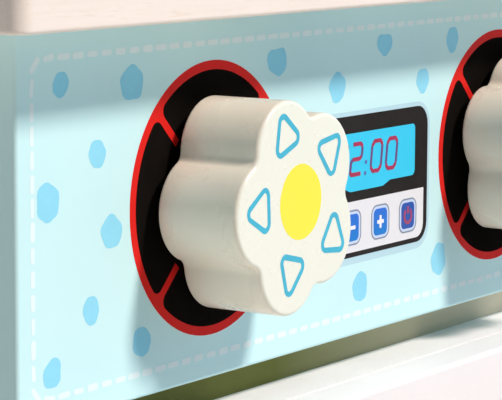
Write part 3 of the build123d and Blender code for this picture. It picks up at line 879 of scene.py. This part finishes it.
def makeStitchTree():
    # Dashes at an even pitch around a rounded rectangle, each a little different
    tree, given, result = newGeometryTree("stitchLine", [
        ("Width", "Float", 280 * mm), ("Height", "Float", 75 * mm), ("Corner", "Float", 4.0 * mm),
        ("Pitch", "Float", 5.2 * mm), ("Dash Length", "Float", 3.9 * mm), ("Dash Width", "Float", 1.4 * mm),
        ("Dash Round", "Float", 0.48), ("Thickness", "Float", inkStep), ("Sink", "Float", 0.0),
        ("Vary", "Float", 0.1), ("Lengthen", "Float", 0.6), ("Seed", "Int", 3),
    ])
    line = quadrilateral(tree, given["Width"], given["Height"])
    line = roundedCurve(tree, line, given["Corner"], cornerSteps["stitchLine"])
    points = steppedAlong(tree, line, given["Pitch"])
    dash = quadrilateral(tree, given["Dash Length"], given["Dash Width"])
    dashCorner = maths(tree, "MULTIPLY", given["Dash Width"], given["Dash Round"])
    dash = roundedCurve(tree, dash, dashCorner, cornerSteps["dash"])
    dash = thicken(tree, dash, given["Thickness"], given["Sink"])
    tangent = addNode(tree, "GeometryNodeInputTangent").outputs[0]
    turn = addNode(tree, "FunctionNodeAlignRotationToVector", {"Vector": tangent}, axis="X").outputs[0]
    least = maths(tree, "SUBTRACT", 1.0, given["Vary"])
    longest = maths(tree, "MULTIPLY_ADD", given["Vary"], given["Lengthen"], 1.0)
    widest = maths(tree, "ADD", 1.0, given["Vary"])
    low = addNode(tree, "ShaderNodeCombineXYZ", {0: least, 1: least, 2: 1.0}).outputs[0]
    high = addNode(tree, "ShaderNodeCombineXYZ", {0: longest, 1: widest, 2: 1.0}).outputs[0]
    size = addNode(tree, "FunctionNodeRandomValue", data_type="FLOAT_VECTOR")
    for label, value in (("Min", low), ("Max", high), ("Seed", given["Seed"])):
        tree.links.new(value, size.inputs[label])
    inputs = {"Points": points, "Instance": dash, "Rotation": turn, "Scale": size.outputs["Value"]}
    dashes = addNode(tree, "GeometryNodeInstanceOnPoints", inputs).outputs[0]
    closeTree(tree, dashes, given["Finish"], result)
    return tree


def makeDabTree():
    # Dabs of paint with rounded corners and unsteady sides, one inside each closed loop of edges
    tree, given, result = newGeometryTree("paintDabs", [
        ("Corner", "Float", 1.0 * mm), ("Step", "Float", 0.4 * mm), ("Thickness", "Float", inkStep),
        ("Sink", "Float", 0.0), ("Wobble", "Float", 0.6 * mm), ("Wobble Scale", "Float", 420.0),
        ("Seed", "Float", 0.0),
    ])
    curve = addNode(tree, "GeometryNodeMeshToCurve", {"Mesh": given["Geometry"]}).outputs[0]
    curve = roundedCurve(tree, curve, given["Corner"], cornerSteps["dab"], limit=True)
    curve = steppedAlong(tree, curve, given["Step"])
    curve = wandering(tree, curve, given["Wobble Scale"], given["Seed"], given["Wobble"])
    closeTree(tree, thicken(tree, curve, given["Thickness"], given["Sink"]), given["Finish"], result)
    return tree


inkStrokes = makeStrokeTree()
stitchLine = makeStitchTree()
paintDabs = makeDabTree()


def edgeMesh(name, paths):
    # Loose edges for a tree to follow: each path is a list of points and whether it closes on itself
    points, edges = [], []
    for path, closed in paths:
        start = len(points)
        points += [(x * mm, y * mm, 0.0) for x, y in path]
        edges += [(start + i, start + i + 1) for i in range(len(path) - 1)]
        if closed:
            edges.append((len(points) - 1, start))
    mesh = bpy.data.meshes.new(name)
    mesh.from_pydata(points, edges, [])
    return mesh


def drawStrokes(name, paths, stroke, corner, passes, finish, middle, faceY, wobble=0.0, swell=0.0,
                seed=0.0, body="root"):
    values = {"Stroke": stroke * mm, "Corner": corner * mm, "Thickness": 2 * passes * inkStep,
              "Wobble": wobble * mm, "Swell": swell, "Seed": seed}
    growPiece(name, inkStrokes, values, edgeMesh(name, paths), finish, middle, faceY, body)


print("drawing tools are ready")


# Control panel: stitch line, dabs and dials

panelPattern = {
    "margin": (5.5, 7.1, 5.8),  # stitch line to the panel's sides, top and bottom
    "corner": 4.0, "pitch": 5.2, "dash": (4.2, 1.45), "vary": 0.14, "stitchSeed": 11,
    "stitchInk": {"colour": (0.79, 0.975, 0.985), "roughness": 0.4, "gloss": 0.3, "toneScale": 70.0},
    "dabInk": {"colour": (0.285, 0.745, 0.94), "tone": 0.05, "toneScale": 160.0},
    "dabCorner": 2.2, "dabWobble": 0.6, "dabSeed": 4.0,
    # middle of each dab, measured from the left dial, and its corners around that middle
    "dabs": [
        (-58.0, 30.5, [(-1.5, 3.5), (-3.5, 0), (0, -3.5), (3, 0.5), (2, 3.5)]),
        (-32.0, 30.0, [(0, 4.5), (-5, 1), (-3, -4), (3.5, -4), (4.5, 1.5)]),
        (-45.0, 14.5, [(-2, 3.5), (-3.5, 0), (-1.5, -3), (1.5, -3), (3.5, 0), (1.5, 3.5)]),
        (-62.5, 5.5, [(-1, 5), (-4, 3.5), (-4, -2.5), (-0.5, -4.5), (3, -3), (4, 2.5)]),
        (-40.0, -3.0, [(0, 4.5), (-4.5, 0.5), (-2, -4), (3, -4), (4.5, 0.5)]),
        (-47.5, -20.5, [(-1.5, 3.5), (-3.5, 0.5), (-1.5, -3), (1.5, -3.5), (3, 0), (2, 3.5)]),
        (-61.5, -32.5, [(0, 4), (-3.5, 1), (-3, -3), (2.5, -3), (3, 3)]),
        (-28.5, -30.5, [(-3, 3.5), (-3.5, -2), (0, -3.5), (2.5, -3), (4, 0.5), (1.5, 3.5)]),
        (28.0, 30.5, [(-5.5, 3), (-3.5, -1.5), (1, -3.5), (4.5, -1.5), (4, 4)]),
        (56.5, 22.5, [(0, 4.5), (-5, 1), (-1.5, -4.5), (2.5, -3), (4.5, 1.5)]),
        (80.0, 31.5, [(-3, 3.5), (-4.5, 0.5), (0, -3), (4.5, 0.5), (3, 3.5)]),
        (100.5, 20.5, [(-2.5, 4), (-4, 0.5), (0, -4), (3.5, 0.5), (2.5, 4)]),
        (116.5, 31.5, [(-2, 3.5), (-3.5, -0.5), (-1.5, -3.5), (1.5, -3.5), (3.5, 0), (2.5, 3.5)]),
        (68.5, -31.0, [(-0.5, 4.5), (-4, 1), (-3, -3), (0.5, -4), (3.5, -3), (3.5, 3)]),
        (110.5, -29.0, [(-1, 5), (-4.5, 1), (-3.5, -3), (1, -5), (4, -2), (3, 4)]),
    ],
    "mirrored": 8,  # the first ones are also printed beyond the right dial, the other way round
}


def fromDial(points):
    # Places measured from the left dial are moved to the middle of the panel
    shiftX = (dialMiddle["left"][0] - panelMiddle.x) / mm
    shiftZ = (dialMiddle["left"][1] - panelMiddle.z) / mm
    return [(x + shiftX, z + shiftZ) for x, z in points]


def addStitches():
    look = panelPattern
    sideMargin, topMargin, lowMargin = look["margin"]
    width = (panelHigh.x - panelLow.x) / mm - 2 * sideMargin
    height = (panelHigh.z - panelLow.z) / mm - topMargin - lowMargin
    values = {
        "Width": width * mm, "Height": height * mm, "Corner": look["corner"] * mm,
        "Pitch": look["pitch"] * mm, "Dash Length": look["dash"][0] * mm, "Dash Width": look["dash"][1] * mm,
        "Thickness": inkStep, "Sink": -inkSink, "Vary": look["vary"], "Seed": look["stitchSeed"],
    }
    middle = (panelMiddle.x, panelMiddle.z + (lowMargin - topMargin) / 2 * mm)
    finish = ink("stitchInk", look["stitchInk"])
    start = bpy.data.meshes.new("stitchStart")
    growPiece("panelStitches", stitchLine, values, start, finish, middle, panelFace)


def addDabs():
    look = panelPattern
    across = (dialMiddle["right"][0] - dialMiddle["left"][0]) / mm
    loops = [[(x + dx, z + dz) for dx, dz in corners] for x, z, corners in look["dabs"]]
    loops += [[(across - x, z) for x, z in reversed(loop)] for loop in loops[:look["mirrored"]]]
    values = {
        "Corner": look["dabCorner"] * mm, "Thickness": inkStep, "Sink": -inkSink,
        "Wobble": look["dabWobble"] * mm, "Seed": look["dabSeed"],
    }
    mesh = edgeMesh("dabEdges", [(fromDial(loop), True) for loop in loops])
    growPiece("panelDabs", paintDabs, values, mesh, ink("dabInk", look["dabInk"]), panelCentre, panelFace)


dialPrint = {
    "ringOuter": 33.0, "ringInner": 30.8, "ringSteps": 120,
    "blackRadius": 31.4, "blackSteps": 96, "axleGap": 12.6, "axleSteps": 72,
    "spokeTurns": (45, 135, 225, 315), "spokeWidth": 2.0, "spokeEnd": 20.4,
    "fillet": 2.2, "filletSteps": 6, "innerSteps": 20,
    "passes": {"black": 1, "ring": 2},  # of ink: what is printed over another ink stands higher
    "redInk": {
        "colour": (0.74, 0.020, 0.016), "roughness": 0.5, "gloss": 0.06, "tone": 0.05, "toneScale": 60.0,
    },
    "blackInk": {
        "colour": (0.008, 0.0068, 0.0058), "roughness": 0.55, "gloss": 0.0, "tone": 0.2, "toneScale": 90.0,
    },
}


def innerEdge():
    # Inner edge of the ring and its spokes, as one loop that goes in and out along each spoke
    look = dialPrint
    half, fillet, inner = look["spokeWidth"] / 2, look["fillet"], look["ringInner"]
    filletX = math.sqrt((inner - fillet) ** 2 - (half + fillet) ** 2)
    lean = math.degrees(math.atan2(half + fillet, filletX))
    spoke = arc(filletX, -(half + fillet), fillet, -lean, 90, look["filletSteps"])
    spoke += [(look["spokeEnd"], -half), (look["spokeEnd"], half)]
    spoke += arc(filletX, half + fillet, fillet, 270, 360 + lean, look["filletSteps"])
    turns = look["spokeTurns"]
    loop = []
    for turn, following in zip(turns, turns[1:] + (turns[0] + 360,)):
        rotation = Matrix.Rotation(math.radians(turn), 2)
        loop += [tuple(rotation @ Vector(point)) for point in spoke]
        loop += arc(0, 0, inner, turn + lean, following - lean, look["innerSteps"])[1:-1]
    return loop


def addDials():
    look = dialPrint
    red = ink("dialRed", look["redInk"])
    black = ink("dialBlack", look["blackInk"])
    passes = look["passes"]
    disc = [circle(0, 0, look["blackRadius"], look["blackSteps"]),
            circle(0, 0, look["axleGap"], look["axleSteps"])]
    ring = [circle(0, 0, look["ringOuter"], look["ringSteps"]), innerEdge()]
    for side in sides:
        middle = dialMiddle[side]
        printArea(f"{side}DialBlack", [disc], passes["black"], black, middle, panelFace)
        printArea(f"{side}DialRing", [ring], passes["ring"], red, middle, panelFace)


addStitches()
addDabs()
addDials()
print("panel pattern is printed")


# Timer display, printed in the middle of the panel: places are in millimetres from the left dial's middle


def panelArea(name, areas, passes, finish):
    areas = [[fromDial(loop) for loop in loops] for loops in areas]
    printArea(name, areas, passes, finish, panelCentre, panelFace)


def panelStrokes(name, paths, stroke, corner, passes, finish):
    paths = [(fromDial(path), closed) for path, closed in paths]
    drawStrokes(name, paths, stroke, corner, passes, finish, panelCentre, panelFace)


timer = {
    "outline": (39.2, 103.3, -22.6, 14.6), "corner": 5.3,  # left, right, low, high
    "halo": 1.2, "haloLow": 1.8,  # how far the pale halo reaches past the outline
    "window": (46.2, 96.4, -4.0, 10.0), "windowCorners": (1.3, 2.2, 2.2, 2.2, 2.2, 1.6, 1.3, 1.3),
    "tab": (59.3, 63.0, 79.6, 83.3), "tabLow": -5.3,  # the part of the window that hangs below it
    "strip": (41.0, 101.3, -21.3, -7.9), "stripCorners": (3.7, 3.7, 0.25, 0.25),
    "passes": {"halo": 1, "frame": 2, "window": 3, "strip": 3},
    "haloInk": {"colour": (0.50, 0.76, 0.84)},
    "blackInk": {
        "colour": (0.018, 0.016, 0.016), "roughness": 0.45, "gloss": 0.06, "tone": 0.12, "toneScale": 60.0,
    },
    "cyanInk": {"colour": (0.045, 0.63, 0.92), "gloss": 0.12, "toneScale": 40.0},
    "whiteInk": {"colour": (0.81, 0.84, 0.87), "tone": 0.015},
}


def addDisplay():
    look = timer
    passes = look["passes"]
    left, right, low, high = look["outline"]
    corner, grow = look["corner"], look["halo"]
    halo = roundCorners(box(left - grow, right + grow, low - look["haloLow"], high + grow), [corner + grow])
    panelArea("timerHalo", [[halo]], passes["halo"], ink("haloInk", look["haloInk"]))
    outline = roundCorners(box(left, right, low, high), [corner])
    black = ink("timerBlack", look["blackInk"])
    panelArea("timerFrame", [[outline]], passes["frame"], black)
    left, right, low, high = look["window"]
    outerLeft, innerLeft, innerRight, outerRight = look["tab"]
    tab = [(outerLeft, low), (innerLeft, look["tabLow"]), (innerRight, look["tabLow"]), (outerRight, low)]
    window = [(left, low), *tab, (right, low), (right, high), (left, high)]
    window = roundCorners(window, look["windowCorners"])
    panelArea("timerWindow", [[window]], passes["window"], ink("timerCyan", look["cyanInk"]))
    strip = roundCorners(box(*look["strip"]), look["stripCorners"])
    panelArea("timerStrip", [[strip]], passes["strip"], ink("timerWhite", look["whiteInk"]))


buttons = {
    "across": (49.45, 63.95, 78.45, 92.9), "height": -14.75,
    "band": (8.9, 8.9), "bandCorner": 2.4, "outline": 0.38,
    "square": (6.9, 7.1), "squareCorner": 1.5,
    "passes": {"bands": 4, "squares": 5, "outlines": 5},
    "bandInk": {"colour": (0.60, 0.74, 0.95), "tone": 0.02},
    "lineInk": {"colour": (0.22, 0.27, 0.36), "roughness": 0.34, "gloss": 0.35},
    "blueInk": {
        "colour": (0.03, 0.17, 0.70), "lowColour": (0.012, 0.22, 0.66), "gloss": 0.12, "toneScale": 200.0,
    },
    "powerBlueInk": {"colour": (0.03, 0.10, 0.42), "gloss": 0.12, "toneScale": 200.0},
}


def addButtons():
    look = buttons
    z, passes = look["height"], look["passes"]
    bands = [boxAround(x, z, *look["band"]) for x in look["across"]]
    squares = [boxAround(x, z, *look["square"]) for x in look["across"]]
    squares = [[roundCorners(square, [look["squareCorner"]])] for square in squares]
    rounded = [[roundCorners(band, [look["bandCorner"]])] for band in bands]
    panelArea("buttonBands", rounded, passes["bands"], ink("buttonBand", look["bandInk"]))
    panelStrokes("buttonOutlines", [(band, True) for band in bands], look["outline"], look["bandCorner"],
                 passes["outlines"], ink("buttonLine", look["lineInk"]))
    middle, half = dialMiddle["left"][1] + z * mm, look["square"][1] / 2 * mm
    blue = ink("buttonBlue", look["blueInk"], middle - half, middle + half)
    panelArea("buttonSquares", squares[:-1], passes["squares"], blue)
    panelArea("powerButton", squares[-1:], passes["squares"], ink("powerBlue", look["powerBlueInk"]))


signs = {
    "clockRadius": 2.1, "clockSteps": 24, "clockStroke": 0.55,
    "clockHands": ((0.0, 1.3), (0.0, 0.0), (1.0, -0.6)),
    "minus": (3.4, 1.0), "minusCorner": 0.3,
    "plusWide": 1.7, "plusTall": 1.75, "plusHalf": 0.5, "plusCorner": 0.22,
    "powerArc": (125, 415), "powerRadius": 1.85, "powerSteps": 28, "powerLow": 0.1, "powerBar": (0.5, 2.5),
    "powerStroke": 0.95, "strokeCorner": 0.05, "passes": 6,
    "whiteInk": {"colour": (0.90, 0.92, 0.95)},
    "redInk": {"colour": (0.38, 0.05, 0.16), "roughness": 0.34, "gloss": 0.35},
}


def addSigns():
    # A clock, minus, plus and power
    look = signs
    z, passes = buttons["height"], look["passes"]
    clockX, minusX, plusX, powerX = buttons["across"]
    white = ink("signWhite", look["whiteInk"])
    face = circle(clockX, z, look["clockRadius"], look["clockSteps"])
    hands = [(clockX + dx, z + dz) for dx, dz in look["clockHands"]]
    clock = [(face, True), (hands, False)]
    panelStrokes("clockSign", clock, look["clockStroke"], look["strokeCorner"], passes, white)
    minus = roundCorners(boxAround(minusX, z, *look["minus"]), [look["minusCorner"]])
    wide, tall, half = look["plusWide"], look["plusTall"], look["plusHalf"]
    arm = [(-half, -tall), (half, -tall), (half, -half), (wide, -half), (wide, half), (half, half)]
    cross = [(plusX + dx, z + dz) for dx, dz in arm + [(-dx, -dz) for dx, dz in arm]]
    plus = roundCorners(cross, [look["plusCorner"]], cornerSteps["small"])
    panelArea("stepSigns", [[minus], [plus]], passes, white)
    ring = arc(powerX, z - look["powerLow"], look["powerRadius"], *look["powerArc"], look["powerSteps"])
    bar = [(powerX, z + rise) for rise in look["powerBar"]]
    panelStrokes("powerSign", [(ring, False), (bar, False)], look["powerStroke"], look["strokeCorner"],
                 passes, ink("powerRed", look["redInk"]))


digits = {
    "slant": 0.14, "base": -0.85, "tall": 7.9, "wide": 5.2, "stroke": 1.05, "corner": 0.7,
    "starts": (60.6, 62.8, 73.0, 80.8),  # left edge of each digit
    "dots": ((70.8, 1.9), (70.4, -1.0)), "dotSize": (1.1, 1.0), "dotCorner": 0.25,
    "zeroCut": (1.1, 1.2),  # how much of a corner is cut off, along and up
    "twoStart": 0.5, "twoCut": 0.9, "twoBend": ((0.3, 0.4), (1.0, 0.9)), "twoHook": 0.8,
    "twoFoot": (0.1, 0.9),
    "passes": {"Uprights": 4, "Flats": 5, "colon": 4},
    "flatInk": {"colour": (0.42, 0.035, 0.10), "gloss": 0.12, "tone": 0.2, "toneScale": 400.0},
    "uprightInk": {"colour": (0.15, 0.07, 0.24), "gloss": 0.12, "tone": 0.2, "toneScale": 400.0},
    "colonInk": {"colour": (0.09, 0.14, 0.46), "roughness": 0.34, "gloss": 0.35},
}


def addDigits():
    # 12:00 with slanted digits, their flat strokes crimson and their upright ones violet
    look = digits
    tall, wide, half = look["tall"], look["wide"], look["tall"] / 2
    one, two, firstZero, lastZero = look["starts"]
    along, up = look["zeroCut"]
    zeroFlats = [[(0.0, up), (along, 0.0), (wide - along, 0.0), (wide, up)],
                 [(0.0, tall - up), (along, tall), (wide - along, tall), (wide, tall - up)]]
    zeroUprights = [[(x, up), (x, tall - up)] for x in (0.0, wide)]
    start, cut, hook = look["twoStart"], look["twoCut"], look["twoHook"]
    (bendX, bendZ), (backX, riseZ) = look["twoBend"]
    footX, footZ = look["twoFoot"]
    bend = (wide - bendX, half + bendZ)
    twoFlats = [[(start, tall), (wide - cut, tall), (wide, tall - cut)],
                [bend, (wide - backX, half), (hook, half)],
                [(0.0, footZ), (footX, 0.0), (wide, 0.0)]]
    twoUprights = [[(wide, tall - cut), (wide, half + riseZ), bend],
                   [(hook, half), (0.0, half - hook), (0.0, footZ)]]
    oneUpright = [[(0.0, 0.0), (0.0, tall)]]
    uprights = [(one, oneUpright), (two, twoUprights), (firstZero, zeroUprights), (lastZero, zeroUprights)]
    flats = [(two, twoFlats), (firstZero, zeroFlats), (lastZero, zeroFlats)]
    for name, strokes, inkLook in (("Uprights", uprights, look["uprightInk"]),
                                   ("Flats", flats, look["flatInk"])):
        paths = [([(left + x + look["slant"] * y, look["base"] + y) for x, y in path], False)
                 for left, shapes in strokes for path in shapes]
        finish = ink("digit" + name, inkLook)
        panelStrokes("timer" + name, paths, look["stroke"], look["corner"], look["passes"][name], finish)
    dots = [boxAround(x, z, *look["dotSize"]) for x, z in look["dots"]]
    dots = [[roundCorners(dot, [look["dotCorner"]], cornerSteps["small"])] for dot in dots]
    panelArea("timerColon", dots, look["passes"]["colon"], ink("colonInk", look["colonInk"]))


addDisplay()
addButtons()
addSigns()
addDigits()
print("timer display is printed")


# Knob faces: five outlined petals and a yellow middle

daisy = {
    "tip": 23.4, "base": 13.6, "halfBase": 5.8, "stroke": 1.3, "corner": 1.5, "wobble": 0.5, "swell": 0.4,
    # how far each petal leans from its lobe, in degrees, and how far out it sits
    "offsets": ((-0.5, -0.5), (0.0, 0.25), (-2.3, 0.0), (0.5, -0.2), (-2.3, 0.5)),
    "turns": {"left": 40.0, "right": 13.0},  # degrees
    "shift": {"left": (0.75, 0.9), "right": (0.3, -0.5)},
    "seeds": {"left": 2.0, "right": 7.0},
    "centreRadius": 8.9, "centreSteps": 80, "centreWave": 0.018, "waveScale": 0.16, "passes": 1,
    "petalInk": {
        "colour": (0.065, 0.50, 0.68), "roughness": 0.4, "gloss": 0.15, "tone": 0.1, "toneScale": 260.0,
    },
    "centreInk": {
        "colour": (1.0, 0.90, 0.08), "roughness": 0.4, "gloss": 0.12, "tone": 0.02, "toneScale": 90.0,
    },
}


def addDaisies():
    look = daisy
    petalFinish = ink("petalInk", look["petalInk"])
    centreFinish = ink("centreInk", look["centreInk"])
    for side in sides:
        body, middle, seed = f"{side}_knob", dialMiddle[side], look["seeds"][side]
        shift = Vector(look["shift"][side])
        petals = []
        for k, (lean, out) in enumerate(look["offsets"]):
            angle = look["turns"][side] + 360 / len(look["offsets"]) * k + lean
            turn = Matrix.Rotation(math.radians(angle), 2)
            base = look["base"] + out
            corners = [(look["tip"] + out, 0.0), (base, look["halfBase"]), (base, -look["halfBase"])]
            petals.append(([tuple(turn @ Vector(corner) + shift) for corner in corners], True))
        drawStrokes(f"{side}KnobPetals", petals, look["stroke"], look["corner"], look["passes"],
                    petalFinish, middle, knobFace, look["wobble"], look["swell"], seed, body)
        rim = []
        for x, z in circle(0, 0, look["centreRadius"], look["centreSteps"]):
            place = Vector((x * look["waveScale"], z * look["waveScale"], seed))
            wave = 1 + look["centreWave"] * noise(place)
            rim.append((x * wave + shift.x, z * wave + shift.y))
        printArea(f"{side}KnobCentre", [[rim]], look["passes"], centreFinish, middle, knobFace, body)


addDaisies()
print("knob faces are painted")


# Floor

ground = {
    "size": 8.0, "colour": (0.90, 0.90, 0.895),
    "bounce": (0.54, 0.57, 0.56),  # its colour for the light that it throws back
    "tone": 0.01, "toneScale": 3.0, "roughness": 0.9, "fixed": {"Specular IOR Level": 0.1},
}


def addFloor():
    look = ground
    half = look["size"] / 2
    corners = [(x, y, 0.0) for x, y in box(-half, half, -half, half)]
    mesh = bpy.data.meshes.new("floor")
    mesh.from_pydata(corners, [], [(0, 1, 2, 3)])
    floor = addObject("floor", mesh)
    material, tree, vector, shader = startFinish("floorPaper")
    colour = blendColour(tree, seenDirectly(tree), look["bounce"], look["colour"])
    colour = uneven(tree, vector, colour, look)
    finishShader(tree, shader, look, colour, look["roughness"])
    mesh.materials.append(material)


addFloor()
print("floor is laid")
